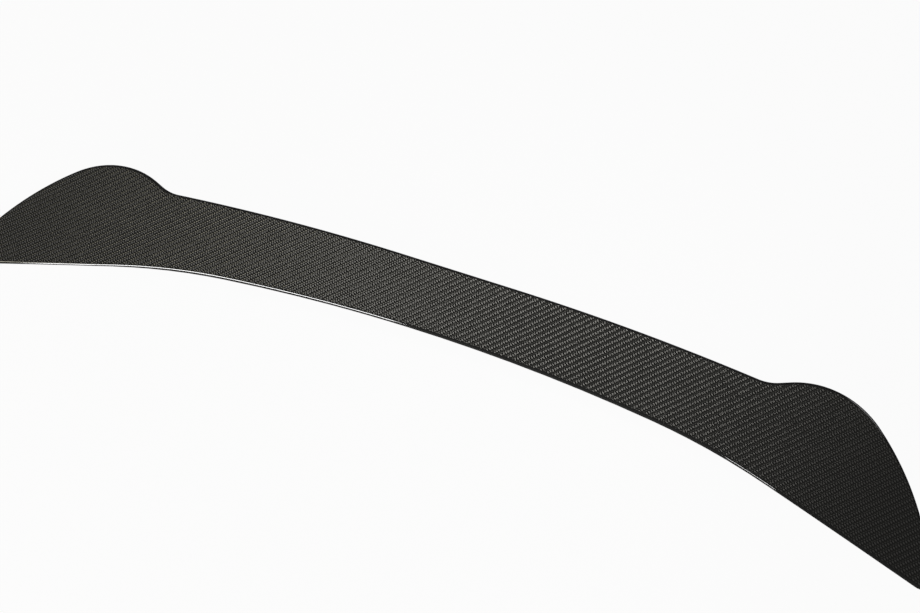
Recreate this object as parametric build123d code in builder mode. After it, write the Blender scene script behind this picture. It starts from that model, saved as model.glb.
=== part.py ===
"""Boot-lid lip spoiler: one moulded carbon-fibre shell, open underneath, that is bonded to the lid.

X runs across the car, +Y to the rear, +Z up. The origin is on the lid, under the middle of the front edge.
"""
import os
from math import asin, cos, degrees, radians, sin, sqrt, tan

from build123d import *

# Ramp section along the car, in millimetres and degrees
chord = 78.0  # front edge to trailing edge, at the middle
ramp_angle = 15.0  # rise of the chord
ramp_hollow = 0.9  # depth of the hollow face below the chord
lip_height = 3.2  # front edge above the lid
wall_lean = 16.0  # the walls run forward going down, which undercuts the trailing edge
edge_radius = 2.2  # rolled edge between the ramp and the walls
skin = 2.4  # laminate

# Front edge, measured across the car
span = 1110.0  # over the sharp corners of the two tips
front_middle_radius = 2150.0
front_bend_radius = 650.0
front_bend_run = 130.0
front_tip_run = 175.0  # straight run to each tip

# Trailing edge, a low middle section between two raised wings
wing_span = 213.0
rear_straight_half = 67.0
rear_middle_radius = 2865.0
notch_radius = 48.0
flare_angle = 21.0
flare_run = 12.0
wing_radius = 95.0
wing_sweep = 42.0
tip_radius = 9.0

# Underside
front_solid = 14.0  # solid laminate behind the front edge
land_width = 22.0  # bond land along the front edge
flange_width = 14.0  # turned-in flange at the foot of the other walls

# Directions of the section, and room for the cutting solids beyond the part
ramp_rise = radians(ramp_angle)
along_ramp = Vector(0, cos(ramp_rise), sin(ramp_rise))
ramp_normal = Vector(0, -sin(ramp_rise), cos(ramp_rise))
down_wall = Vector(0, -tan(radians(wall_lean)), -1).normalized()
front_edge = Vector(0, 0, lip_height)
ramp_radius = (chord**2 / 4 + ramp_hollow**2) / (2 * ramp_hollow)
half_span = span / 2
clear = chord
reach_along = 3 * clear
reach_across = half_span + clear
reach_down = 4 * clear

# The plan is drawn square to the chord, on a plane that stands clear above the ramp
plan_plane = Plane(front_edge - down_wall * clear, x_dir=(1, 0, 0), z_dir=ramp_normal)

front_middle_half = half_span - front_tip_run - front_bend_run
front_turn = asin(front_middle_half / front_middle_radius)
bend_turn = asin(front_bend_run / front_bend_radius + sin(front_turn)) - front_turn
rear_turn = asin((half_span - wing_span - rear_straight_half) / rear_middle_radius)

with BuildSketch() as plan:
    with BuildLine():
        front_middle = JernArc((0, 0), (1, 0), front_middle_radius, -degrees(front_turn))
        front_bend = JernArc(front_middle @ 1, front_middle % 1, front_bend_radius, -degrees(bend_turn))
        tip = front_bend @ 1 + (front_bend % 1) * (front_tip_run / (front_bend % 1).X)
        Line(front_bend @ 1, tip)
        rear_straight = Line((0, chord), (rear_straight_half, chord))
        rear_middle = JernArc(rear_straight @ 1, (1, 0), rear_middle_radius, -degrees(rear_turn))
        notch = JernArc(rear_middle @ 1, rear_middle % 1, notch_radius, degrees(rear_turn) + flare_angle)
        flare = Line(notch @ 1, notch @ 1 + (notch % 1) * flare_run)
        wing = JernArc(flare @ 1, flare % 1, wing_radius, -flare_angle - wing_sweep)
        TangentArc(wing @ 1, tip, tangent=wing % 1)
        mirror(about=Plane.YZ)
    make_face()
    tips = plan.vertices().sort_by(Axis.Y)[:2]
    fillet(tips, tip_radius)

# The hollow stays closed over the bond land and the flanges, and opens downwards between them
with BuildSketch() as hollow_plan:
    offset(plan.sketch, -skin)
    with Locations((0, front_solid)):
        add(plan.sketch, mode=Mode.INTERSECT)

with BuildSketch() as mouth_plan:
    offset(plan.sketch, -skin - flange_width)
    with Locations((0, land_width)):
        add(plan.sketch, mode=Mode.INTERSECT)


def over_chord(along):
    """Height of the ramp's hollow face over its chord, at a distance along the chord."""
    return ramp_radius - ramp_hollow - sqrt(ramp_radius**2 - (along - chord / 2) ** 2)


# The lid's crown falls with the front edge, so that the lip is as high at the tips as at the middle
tip_drop = -tip.Y * sin(ramp_rise) - over_chord(tip.Y) * cos(ramp_rise)
crown_radius = (half_span**2 + tip_drop**2) / (2 * tip_drop)


def under_ramp(depth):
    """Space below the ramp's hollow face, or below a face that lies deeper."""
    section_plane = Plane(front_edge - ramp_normal * depth, x_dir=along_ramp, z_dir=(1, 0, 0))
    front, rear = -reach_along, chord + reach_along
    with BuildPart() as space:
        with BuildSketch(section_plane):
            with BuildLine():
                middle = (chord / 2, -ramp_hollow)
                face = ThreePointArc((front, over_chord(front)), middle, (rear, over_chord(rear)))
                Polyline(face @ 1, (rear, -reach_down), (front, -reach_down), face @ 0)
            make_face()
        extrude(amount=reach_across, both=True)
    return space.part


def over_lid(height):
    """Space above the crowned lid, or above a face that lies higher."""
    fall = crown_radius - sqrt(crown_radius**2 - reach_across**2)
    with BuildPart() as space:
        with BuildSketch(Plane.XZ):
            with BuildLine():
                side = height - fall
                face = ThreePointArc((-reach_across, side), (0, height), (reach_across, side))
                Polyline(face @ 1, (reach_across, reach_down), (-reach_across, reach_down), face @ 0)
            make_face()
        extrude(amount=reach_down, both=True)
    return space.part


with BuildPart() as hollow:
    with BuildSketch(plan_plane):
        add(hollow_plan.sketch)
    extrude(amount=reach_down, dir=down_wall)
    add(over_lid(skin), mode=Mode.INTERSECT)
    with BuildSketch(plan_plane):
        add(mouth_plan.sketch)
    extrude(amount=reach_down, dir=down_wall)
    add(under_ramp(skin), mode=Mode.INTERSECT)

with BuildPart() as spoiler_shell:
    with BuildSketch(plan_plane):
        add(plan.sketch)
    extrude(amount=reach_down, dir=down_wall)
    add(under_ramp(0), mode=Mode.INTERSECT)
    add(over_lid(0), mode=Mode.INTERSECT)
    ramp = spoiler_shell.faces().filter_by(lambda face: face.normal_at().Z > 0).sort_by(SortBy.AREA)[-1]
    fillet(ramp.outer_wire().edges(), edge_radius)
    add(hollow.part, mode=Mode.SUBTRACT)

os.makedirs("parts", exist_ok=True)
spoiler_shell.part.label = "spoiler_shell"
export_step(spoiler_shell.part, "parts/spoiler_shell.step")
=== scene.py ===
"""Looks of the boot-lid lip spoiler: lacquered carbon twill on the CAD shell, on a pale studio floor.

Metres throughout. X runs across the car, +Y to the rear, +Z up, as in the part's frame.
"""
from math import asin, atan2, copysign, cos, floor, pi, radians, sin

import bpy
import numpy as np
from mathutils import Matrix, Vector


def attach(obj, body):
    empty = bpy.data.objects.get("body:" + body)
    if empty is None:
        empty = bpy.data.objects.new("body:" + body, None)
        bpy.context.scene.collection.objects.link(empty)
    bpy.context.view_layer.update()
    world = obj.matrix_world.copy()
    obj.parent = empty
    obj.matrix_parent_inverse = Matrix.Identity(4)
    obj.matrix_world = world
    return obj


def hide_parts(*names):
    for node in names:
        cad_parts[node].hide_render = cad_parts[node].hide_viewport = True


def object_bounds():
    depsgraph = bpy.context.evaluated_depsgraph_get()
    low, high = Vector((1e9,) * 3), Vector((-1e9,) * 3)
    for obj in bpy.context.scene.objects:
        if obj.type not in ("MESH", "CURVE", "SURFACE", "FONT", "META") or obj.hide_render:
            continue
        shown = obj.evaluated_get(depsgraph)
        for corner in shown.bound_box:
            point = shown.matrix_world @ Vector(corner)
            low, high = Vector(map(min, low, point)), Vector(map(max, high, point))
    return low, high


def grey(level):
    """An opaque neutral colour."""
    return (level, level, level, 1)


# Ramp section along the car
chord = 0.078  # front edge to trailing edge, at the middle
ramp_rise = radians(15.0)
ramp_hollow = 0.0009  # depth of the hollow face below the chord
lip_height = 0.0032  # front edge above the lid
wall_lean = radians(16.0)  # the walls run forward going down
edge_radius = 0.0022  # rolled edge between the ramp and the walls

# Outline, from the middle to one tip
half_span = 0.555
front_middle_radius = 2.150
front_bend_radius = 0.650
front_bend_run = 0.130
front_tip_run = 0.175
wing_span = 0.213
rear_straight_half = 0.067
rear_middle_radius = 2.865
notch_radius = 0.048
flare_angle = radians(21.0)
flare_run = 0.012
wing_radius = 0.095
wing_sweep = radians(42.0)
tip_radius = 0.009

# Rows of the skin across the moulding
roll_steps = 6
wall_guard = 0.08  # share of the wall at which a row keeps the roll's shading off the wall
wall_rows = roll_steps + 3  # the rows of the roll, that row and the foot
ramp_guard = 0.02  # the same on the ramp, behind the front edge
cloth_end = 0.992  # share of the ramp at which the black trailing edge starts; its black is partly resin, partly a painted shade line
ramp_shares = np.array((ramp_guard, *np.linspace(0.1, 0.9, 9), cloth_end))
settling_rounds = 8  # of working out where a wall meets the hollow face
merge_distance = 1e-6  # points closer than this are one

# Cloth: 2/2 twill of flat tows, laid a little askew to the moulding
tow_width = 0.002
float_length = 2  # tows that a float passes over
half_tow = 0.5  # slack in counting whole tows
twill_repeat = 2 * float_length
tows_in_tile = 32
cloth_skew = radians(0.5)
tile_start = 0.0055  # from the front edge, so that one whole tile lies on the middle of the ramp
cloth_map = "OFBake"

# Painted shade and highlight of the floats: the painted shade's fall to the ends and the sides, the painted
# highlight's lean and sideways place, and how peaked it is
chordwise_float = dict(ends=0.69, sides=0.33, lean=3.05, highlight_offset=0.0, peak=0.14)
axial_float = dict(ends=2.73, sides=1.88, lean=0.17, highlight_offset=-0.675, peak=1.29)

# Finishes
tow_colour = (0.243, 0.238, 0.220, 1)
tow_roughness = 0.45
filament_spread = 0.9  # of the glint, across the filaments
quarter_turn = 0.25  # from the glint of the chordwise tows to that of the axial ones
glint_centre = (0, -1000, 0)  # far in front, so that the glint has one direction all along
chordwise_gap = grey(0.003)
axial_gap = (0.012, 0.012, 0.011, 1)
resin_rim = 0.2  # shade up to which the resin between the tows shows
# black of the resin edges, which also paints the dark shade line along the lip and the trailing edge
resin_and_shade_black = grey(0.008)
lacquer = {"Coat Weight": 1, "Coat Roughness": 0.03}
bare_gap = grey(0.016)
bare_tow = (0.070, 0.070, 0.068, 1)
bare_roughness = 0.6

# Underside, cut from the shell
outside_bend = radians(40)  # the outside bends less than this from face to face, and its foot bends more
crease_angle = radians(30)

# Studio
white = grey(1)
sky_light = grey(0.12)
floor_size = 12
floor_gap = 0.0003  # below the part's lowest point
floor_colour = grey(0.30)
floor_roughness = 0.9
paper_share = 0.96  # of what the camera sees of the floor; the rest keeps the shadow
daylight = (1, 1, 1)
warm_daylight = (1.0, 0.955, 0.78)

# Camera of the photograph
focal_length = 44.24
camera_place = (0.2394, -0.5680, 1.0732)
camera_elevation = radians(58.70)
camera_azimuth = radians(20.29)
camera_roll = radians(0.29)

# Directions and turns that follow from the section and the outline
ramp_radius = (chord**2 / 4 + ramp_hollow**2) / (2 * ramp_hollow)
across_car = np.array((1, 0, 0))
along_ramp = np.array((0, cos(ramp_rise), sin(ramp_rise)))
ramp_normal = np.array((0, -sin(ramp_rise), cos(ramp_rise)))
down_wall = np.array((0, -sin(wall_lean), -cos(wall_lean)))
front_edge = np.array((0, 0, lip_height))
front_turn = asin((half_span - front_tip_run - front_bend_run) / front_middle_radius)
bend_turn = asin(front_bend_run / front_bend_radius + sin(front_turn)) - front_turn
rear_turn = asin((half_span - wing_span - rear_straight_half) / rear_middle_radius)


class Signal:
    """A shader socket that Python arithmetic builds on, one node for each operation."""

    def __init__(self, tree, socket=None):
        self.tree = tree
        self.socket = socket

    def node(self, kind, *inputs, sockets=None, out=0, **settings):
        """Output of a new node, with its inputs given in the order of its sockets or by their names."""
        made = self.tree.nodes.new(kind)
        for name, value in settings.items():
            setattr(made, name, value)
        for socket, value in zip(made.inputs, inputs):
            self.set(socket, value)
        for name, value in (sockets or {}).items():
            self.set(made.inputs[name], value)
        return Signal(self.tree, made.outputs[out])

    def set(self, socket, value):
        """Link a signal to a socket, or set a constant on it."""
        if isinstance(value, Signal):
            value.feed(socket)
        elif value is not None:
            socket.default_value = value

    def feed(self, socket):
        """Link this signal to a socket."""
        self.tree.links.new(self.socket, socket)

    def outputs(self):
        """All the outputs of this signal's node."""
        return [Signal(self.tree, socket) for socket in self.socket.node.outputs]

    def math(self, operation, *others):
        """This value and others through a Math node."""
        return self.node("ShaderNodeMath", self, *others, operation=operation)

    def scaled(self, factor):
        """This vector times a number."""
        return self.node("ShaderNodeVectorMath", self, None, None, factor, operation="SCALE")

    def between(self, low, high):
        """Mix of two signals, numbers or colours by this factor."""
        if isinstance(low, tuple):
            other_kinds = [None] * 5
            return self.node("ShaderNodeMix", self, *other_kinds, low, high, out=2, data_type="RGBA")
        return low + (high - low) * self

    def __add__(self, other):
        return self.math("ADD", other)

    def __sub__(self, other):
        return self.math("SUBTRACT", other)

    def __rsub__(self, other):
        return self.node("ShaderNodeMath", other, self, operation="SUBTRACT")

    def __mul__(self, other):
        return self.math("MULTIPLY", other)

    def __truediv__(self, other):
        return self.math("DIVIDE", other)

    def __mod__(self, other):
        return self.math("FLOORED_MODULO", other)

    def __pow__(self, other):
        return self.math("POWER", other)

    def __lt__(self, other):
        return self.math("LESS_THAN", other)

    def __floor__(self):
        return self.math("FLOOR")

    __radd__ = __add__
    __rmul__ = __mul__


def new_material(name, finish):
    """A material whose surface is the shader that a finish builds."""
    material = bpy.data.materials.new(name)
    material.use_nodes = True
    nodes = material.node_tree.nodes
    nodes.remove(nodes["Principled BSDF"])
    finish(Signal(material.node_tree)).feed(nodes["Material Output"].inputs["Surface"])
    return material


def painted_crown_highlight(along, across, ends, sides, lean, highlight_offset, peak):
    """Painted shade of a float from its dark rim to a painted highlight on its crown, which leans or lies
    towards one side.
    """
    leaning = across - highlight_offset + along * lean
    return (1 - along * along * ends - leaning * leaning * sides).math("MAXIMUM", 0) ** peak


def from_float(place, middle):
    """Distance in tows from the middle of the nearest float of a tow."""
    return (place - middle + float_length) % twill_repeat - float_length


def twill(place):
    """Mask of the chordwise tows on top, and the painted shade and highlight of the top tows, at a place
    counted in tows.
    """
    x, y = place.node("ShaderNodeSeparateXYZ", place).outputs()[:2]
    column = floor(x)
    row = floor(y)
    chordwise = painted_crown_highlight(from_float(y, column), (x - column) * 2 - 1, **chordwise_float)
    axial = painted_crown_highlight(from_float(x, row - 1), (y - row) * 2 - 1, **axial_float)
    on_top = (column - row) % twill_repeat < float_length - half_tow
    return on_top, on_top.between(axial, chordwise)


def tow_sheen(shade, gap, turn):
    """Filaments that spread their glint across the tow, with dull resin in the gaps, under lacquer; the
    base colour carries the painted crown highlight and rim shade of the floats.
    """
    sockets = {
        "Base Color": shade.between(gap, tow_colour),
        "Metallic": (shade / resin_rim).math("MINIMUM", 1),
        "Specular IOR Level": 0,
        "Roughness": tow_roughness,
        "Anisotropic": filament_spread,
        "Anisotropic Rotation": turn,
    }
    return shade.node("ShaderNodeBsdfPrincipled", sockets=sockets | lacquer)


def lacquered_carbon(start):
    """Twill whose chordwise and axial tows catch the light from different sides."""
    cloth = start.node("ShaderNodeUVMap", uv_map=cloth_map)
    # shade is the floats' painted crown highlight and rim shade
    chordwise, shade = twill(cloth.scaled(tows_in_tile))
    axial_sheen = tow_sheen(shade, axial_gap, quarter_turn)
    chordwise_sheen = tow_sheen(shade, chordwise_gap, 0)
    return start.node("ShaderNodeMixShader", chordwise, axial_sheen, chordwise_sheen)


def resin_and_shade_edge(start):
    """Black resin that fills the rolled edges, where the cloth stops short, under the same lacquer; the
    black also paints the dark shade line along the lip and the trailing edge.
    """
    sockets = {"Base Color": resin_and_shade_black, "Specular IOR Level": 0}
    return start.node("ShaderNodeBsdfPrincipled", sockets=sockets | lacquer)


def bare_laminate(start):
    """The unlacquered back of the laminate, coloured with the same painted crown highlight and rim shade of
    the floats.
    """
    place = start.node("ShaderNodeTexCoord", out="Object")
    _, shade = twill(place.scaled(1 / tow_width))
    sockets = {"Base Color": shade.between(bare_gap, bare_tow), "Roughness": bare_roughness}
    return start.node("ShaderNodeBsdfPrincipled", sockets=sockets)


def floor_paper(start):
    """Pale paper that the camera sees as white."""
    sockets = {"Base Color": floor_colour, "Roughness": floor_roughness, "Specular IOR Level": 0}
    dull = start.node("ShaderNodeBsdfPrincipled", sockets=sockets)
    bright = start.node("ShaderNodeEmission", white)
    seen = start.node("ShaderNodeLightPath", out="Is Camera Ray")
    return start.node("ShaderNodeMixShader", seen * paper_share, dull, bright)


def arc(start, heading, radius, turn, points):
    """Points and headings of a plan arc that turns left by a positive angle. Plan places are complex."""
    turned = np.exp(1j * turn * np.linspace(0, 1, points))
    centre = start + 1j * heading * copysign(radius, turn)
    return centre + (start - centre) * turned, heading * turned


def run(start, end, points):
    """Points and headings of a straight plan run."""
    heading = (end - start) / abs(end - start)
    return start + (end - start) * np.linspace(0, 1, points), np.full(points, heading)


def end_of(stretch):
    """Last point and heading of a plan stretch."""
    points, headings = stretch
    return points[-1], headings[-1]


def joined(first, *others):
    """Points and headings of plan stretches that follow one another, with each joint counted once."""
    points = np.concatenate((first[0], *(stretch[0][1:] for stretch in others)))
    headings = np.concatenate((first[1], *(stretch[1][1:] for stretch in others)))
    return points, headings


def front_plan():
    """The front edge from the middle to its straight run, and the sharp corner of the tip."""
    middle = arc(0, 1, front_middle_radius, -front_turn, points=60)
    bend = arc(*end_of(middle), front_bend_radius, -bend_turn, points=60)
    start, ahead = end_of(bend)
    return joined(middle, bend), start + ahead * front_tip_run / ahead.real


def rear_plan():
    """The trailing edge from the middle over the notch and the flare to the start of the swept end."""
    straight = run(1j * chord, rear_straight_half + 1j * chord, points=16)
    middle = arc(*end_of(straight), rear_middle_radius, -rear_turn, points=48)
    notch = arc(*end_of(middle), notch_radius, rear_turn + flare_angle, points=16)
    start, heading = end_of(notch)
    flare = run(start, start + heading * flare_run, points=4)
    wing = arc(*end_of(flare), wing_radius, -flare_angle - wing_sweep, points=24)
    return joined(straight, middle, notch, flare, wing)


def half_outline():
    """Stations from the middle to one tip: places and outward directions on the front and rear edges."""
    front, tip = front_plan()
    rear = rear_plan()
    bend_end, ahead = end_of(front)
    start, heading = end_of(rear)

    # The swept end is an arc that carries on from the wing and runs to the sharp corner
    across = tip - start
    sweep_radius = abs(across) ** 2 / (2 * (across * np.conj(-1j * heading)).real)
    sweep_centre = start - 1j * heading * sweep_radius

    # The tip's round touches the front run and the swept end from inside
    inset = tip + 1j * ahead * tip_radius - sweep_centre
    slide = (inset * np.conj(ahead)).real
    reach = np.sqrt(slide**2 - abs(inset) ** 2 + (sweep_radius - tip_radius) ** 2)
    centre = sweep_centre + inset + ahead * min(-slide - reach, -slide + reach, key=abs)
    off = (centre - sweep_centre) / abs(centre - sweep_centre)
    rear_touch = centre + tip_radius * off
    front_touch = centre - 1j * ahead * tip_radius

    sweep_turn = np.angle((rear_touch - sweep_centre) / (start - sweep_centre))
    sweep = arc(start, heading, sweep_radius, sweep_turn, points=24)
    rear_round = arc(rear_touch, -1j * off, tip_radius, -pi / 2 - np.angle(-1j * off), points=14)
    front_run = run(bend_end, front_touch, points=30)
    front_round = arc(front_touch, ahead, tip_radius, pi / 2 - np.angle(ahead), points=40)

    front_points, front_headings = joined(front, front_run, front_round)
    rear_points, rear_headings = joined(rear, sweep, rear_round)
    x = rear_points.real
    front_y = np.interp(x, front_points.real, front_points.imag)
    front_angle = np.interp(x, front_points.real, np.angle(front_headings))
    return x + 1j * front_y, -1j * np.exp(1j * front_angle), rear_points, 1j * rear_headings


def both_sides(half):
    """The stations of one half, after their mirror images."""
    return np.concatenate((-np.conj(half[:0:-1]), half))


def over_chord(along):
    """Height of the ramp's hollow face over its chord, at a distance along the chord."""
    return ramp_radius - ramp_hollow - np.sqrt(ramp_radius**2 - (along - chord / 2) ** 2)


def lid_height(x):
    """Height of the lid, whose crown falls with the front edge, so that the lip is as high at the tips."""
    _, tip = front_plan()
    tip_drop = -tip.imag * sin(ramp_rise) - over_chord(tip.imag) * cos(ramp_rise)
    crown_radius = (half_span**2 + tip_drop**2) / (2 * tip_drop)
    return np.sqrt(crown_radius**2 - x**2) - crown_radius


def unit(vectors):
    """Vectors of length one."""
    return vectors / np.linalg.norm(vectors, axis=1)[:, None]


def direction(plan):
    """Directions in the part's frame from directions on the chord plane."""
    return plan.real[..., None] * across_car + plan.imag[..., None] * along_ramp


def from_chord(plan, height):
    """Places in the part's frame from places on the chord plane and heights over it."""
    return front_edge + direction(plan) + height[..., None] * ramp_normal


def rolled_wall(plan, outward):
    """Rows of places and cloth places from the ramp over its rolled edge and down the wall to the lid."""
    # The wall meets the hollow face a little off the plan, which is drawn on the chord
    lean = (down_wall @ along_ramp) / (down_wall @ ramp_normal)
    along = plan.imag
    for _ in range(settling_rounds):
        along = plan.imag + over_chord(along) * lean
    edge = plan.real + 1j * along
    corner = from_chord(edge, over_chord(along))

    tangent = -1j * outward
    edge_line = direction(tangent)
    ramp_up = unit(ramp_normal - along_ramp * ((along - chord / 2) / ramp_radius)[:, None])
    wall_out = unit(np.cross(down_wall, edge_line))
    wall_out *= np.sign((wall_out * direction(outward)).sum(1))[:, None]
    turn = np.arccos((ramp_up * wall_out).sum(1))
    centre = corner - (ramp_up + wall_out) * (edge_radius / (1 + np.cos(turn)))[:, None]
    cut = edge_radius * np.tan(turn / 2)

    places, cloths = [], []
    for share in np.linspace(0, 1, roll_steps + 1):
        up = np.sin((1 - share) * turn) / np.sin(turn)
        out = np.sin(share * turn) / np.sin(turn)
        places.append(centre + edge_radius * (ramp_up * up[:, None] + wall_out * out[:, None]))
        cloths.append(edge - outward * cut + outward * edge_radius * turn * share)

    slip = (down_wall * edge_line).sum(1)
    fall = np.sqrt(1 - slip**2)
    top = cut / fall
    foot = (lid_height(plan.real) - corner[:, 2]) / down_wall[2]
    for length in (top + wall_guard * (foot - top), foot):
        places.append(corner + down_wall * length[:, None])
        cloths.append(cloths[roll_steps] + (outward * fall + tangent * slip) * (length - top))
    return np.array(places), np.array(cloths)


def skin_rows():
    """Rows of places and cloth places from the foot of the front lip to the foot of the rear wall."""
    front, front_out, rear, rear_out = map(both_sides, half_outline())
    front_rows, front_cloth = rolled_wall(front, front_out)
    rear_rows, rear_cloth = rolled_wall(rear, rear_out)
    ramp_cloth = front_cloth[0] + (rear_cloth[0] - front_cloth[0]) * ramp_shares[:, None]
    ramp_rows = from_chord(ramp_cloth, over_chord(ramp_cloth.imag))
    places = np.concatenate((front_rows[::-1], ramp_rows, rear_rows))
    cloth = np.concatenate((front_cloth[::-1], ramp_cloth, rear_cloth))
    return places, (cloth - 1j * tile_start) * np.exp(1j * cloth_skew) / (tow_width * tows_in_tile)


def cloth_skin():
    """The lacquered outside: a grid over the ramp, the rolled edges and the walls, mapped as cloth."""
    places, cloth = skin_rows()
    rows, columns = cloth.shape
    bpy.ops.object.select_all(action="DESELECT")
    bpy.ops.mesh.primitive_grid_add(x_subdivisions=columns - 1, y_subdivisions=rows - 1)
    skin = bpy.context.object
    skin.name = "cloth_skin"
    mesh = skin.data
    mesh.vertices.foreach_set("co", places.ravel())
    corners = np.empty(len(mesh.loops), int)
    mesh.loops.foreach_get("vertex_index", corners)
    corner_cloth = cloth.ravel()[corners]
    mesh.uv_layers[0].name = cloth_map
    cloth_places = np.column_stack((corner_cloth.real, corner_cloth.imag))
    mesh.uv_layers[0].data.foreach_set("uv", cloth_places.ravel())

    # Black resin on the front lip and over the trailing edge, which also paints their dark shade line
    row = corners[::4] // columns
    rear_roll = rows - wall_rows
    resin_and_shade_faces = (row < wall_rows - 1) | (row >= rear_roll - 1) & (row < rear_roll + roll_steps)
    mesh.polygons.foreach_set("material_index", resin_and_shade_faces.astype(int))

    bpy.ops.object.shade_smooth()
    bpy.ops.object.mode_set(mode="EDIT")
    bpy.ops.mesh.select_all(action="SELECT")
    bpy.ops.mesh.remove_doubles(threshold=merge_distance)
    bpy.ops.mesh.normals_make_consistent(inside=False)
    bpy.ops.object.mode_set(mode="OBJECT")

    # The texture space sets the direction of the tows' glint
    mesh.use_auto_texspace = False
    mesh.texspace_location = glint_centre
    mesh.texspace_size = (1, 1, 1)
    return skin


def underside(shell):
    """The bond land, the flange and the hollow, from the CAD shell without its outside."""
    bpy.ops.object.select_all(action="DESELECT")
    shell.select_set(True)
    bpy.context.view_layer.objects.active = shell
    bpy.ops.object.duplicate()
    back = bpy.context.object
    back.name = "underside"
    bpy.ops.object.mode_set(mode="EDIT")
    bpy.ops.mesh.select_all(action="SELECT")
    bpy.ops.mesh.remove_doubles(threshold=merge_distance)
    bpy.ops.mesh.customdata_custom_splitnormals_clear()
    bpy.ops.mesh.select_mode(type="FACE")
    bpy.ops.mesh.select_all(action="DESELECT")
    bpy.ops.object.mode_set(mode="OBJECT")
    ramp_face = max(back.data.polygons, key=lambda face: face.area * face.normal.z)
    ramp_face.select = True
    back.data.polygons.active = ramp_face.index
    bpy.ops.object.mode_set(mode="EDIT")
    bpy.ops.mesh.faces_select_linked_flat(sharpness=outside_bend)
    bpy.ops.mesh.delete(type="FACE")
    bpy.ops.object.mode_set(mode="OBJECT")
    bpy.ops.object.shade_smooth_by_angle(angle=crease_angle)
    return back


def studio_floor(level):
    """A pale floor under the object, which keeps its shadow."""
    bpy.ops.mesh.primitive_plane_add(size=floor_size, location=(0, 0, level))
    ground = bpy.context.object
    ground.name = "studio_floor"
    ground.data.materials.append(new_material("studio_floor", floor_paper))


def studio_world():
    """A dim sky that the camera sees as white."""
    world = bpy.data.worlds.new("studio")
    world.use_nodes = True
    seen = Signal(world.node_tree).node("ShaderNodeLightPath", out="Is Camera Ray")
    seen.between(sky_light, white).feed(world.node_tree.nodes["Background"].inputs["Color"])
    bpy.context.scene.world = world


def add_softbox(name, place, aim, size, power, colour=daylight, spread=pi):
    """A rectangular lamp that faces a point. A grid in front of it narrows its spread."""
    bpy.ops.object.light_add(type="AREA", location=place)
    lamp = bpy.context.object
    lamp.name = name
    lamp.data.shape = "RECTANGLE"
    lamp.data.size, lamp.data.size_y = size
    lamp.data.energy = power
    lamp.data.color = colour
    lamp.data.spread = spread
    lamp.visible_camera = False
    away = np.array(place) - np.array(aim)
    lamp.rotation_euler = (atan2(np.hypot(away[0], away[1]), away[2]), 0, atan2(away[0], -away[1]))


def add_window(name, place, size, power, colour=daylight):
    """A lamp in front of the object that faces straight to the rear."""
    x, _, z = place
    add_softbox(name, place, (x, 0, z), size, power, colour)


def studio_lamps():
    """Windows that light the axial tows and the front lip, and a softbox for the chordwise tows."""
    add_window("window_left", (-0.52, -1.5, 0.30), size=(0.31, 0.60), power=28.0)
    add_window("window_far_left", (-1.092, -1.5, 0.863), size=(0.5, 1.5), power=32.0, colour=warm_daylight)
    add_window("window_right", (0.266, -0.43, 0.075), size=(0.04, 0.10), power=0.36)
    aim = (-0.11, 0.034, 0)
    spread = radians(71.4)
    add_softbox("softbox_right", (0.589, 0.227, 0.552), aim, size=(0.2, 0.2), power=0.84, spread=spread)


def photo_camera():
    """The photograph's point of view."""
    turn = (pi / 2 - camera_elevation, 0, camera_azimuth)
    bpy.ops.object.camera_add(location=camera_place, rotation=turn)
    camera = bpy.context.object
    camera.rotation_euler.rotate_axis("Z", camera_roll)
    camera.data.lens = focal_length
    bpy.context.scene.camera = camera


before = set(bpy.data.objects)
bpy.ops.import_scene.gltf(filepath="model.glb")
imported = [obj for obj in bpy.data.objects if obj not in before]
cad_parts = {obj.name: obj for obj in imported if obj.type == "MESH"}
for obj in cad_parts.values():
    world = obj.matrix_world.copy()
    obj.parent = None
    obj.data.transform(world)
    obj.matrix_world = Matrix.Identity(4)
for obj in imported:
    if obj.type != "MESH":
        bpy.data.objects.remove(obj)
cad_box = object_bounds()

skin = cloth_skin()
skin.data.materials.append(new_material("lacquered_carbon", lacquered_carbon))
skin.data.materials.append(new_material("resin_and_shade_edge", resin_and_shade_edge))
back = underside(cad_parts["spoiler_shell"])
back.data.materials.clear()
back.data.materials.append(new_material("bare_laminate", bare_laminate))
for piece in (skin, back):
    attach(piece, "root")
    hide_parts("spoiler_shell")

studio_floor(cad_box[0][2] - floor_gap)
studio_world()
studio_lamps()
photo_camera()
bpy.context.scene.view_settings.view_transform = "Standard"
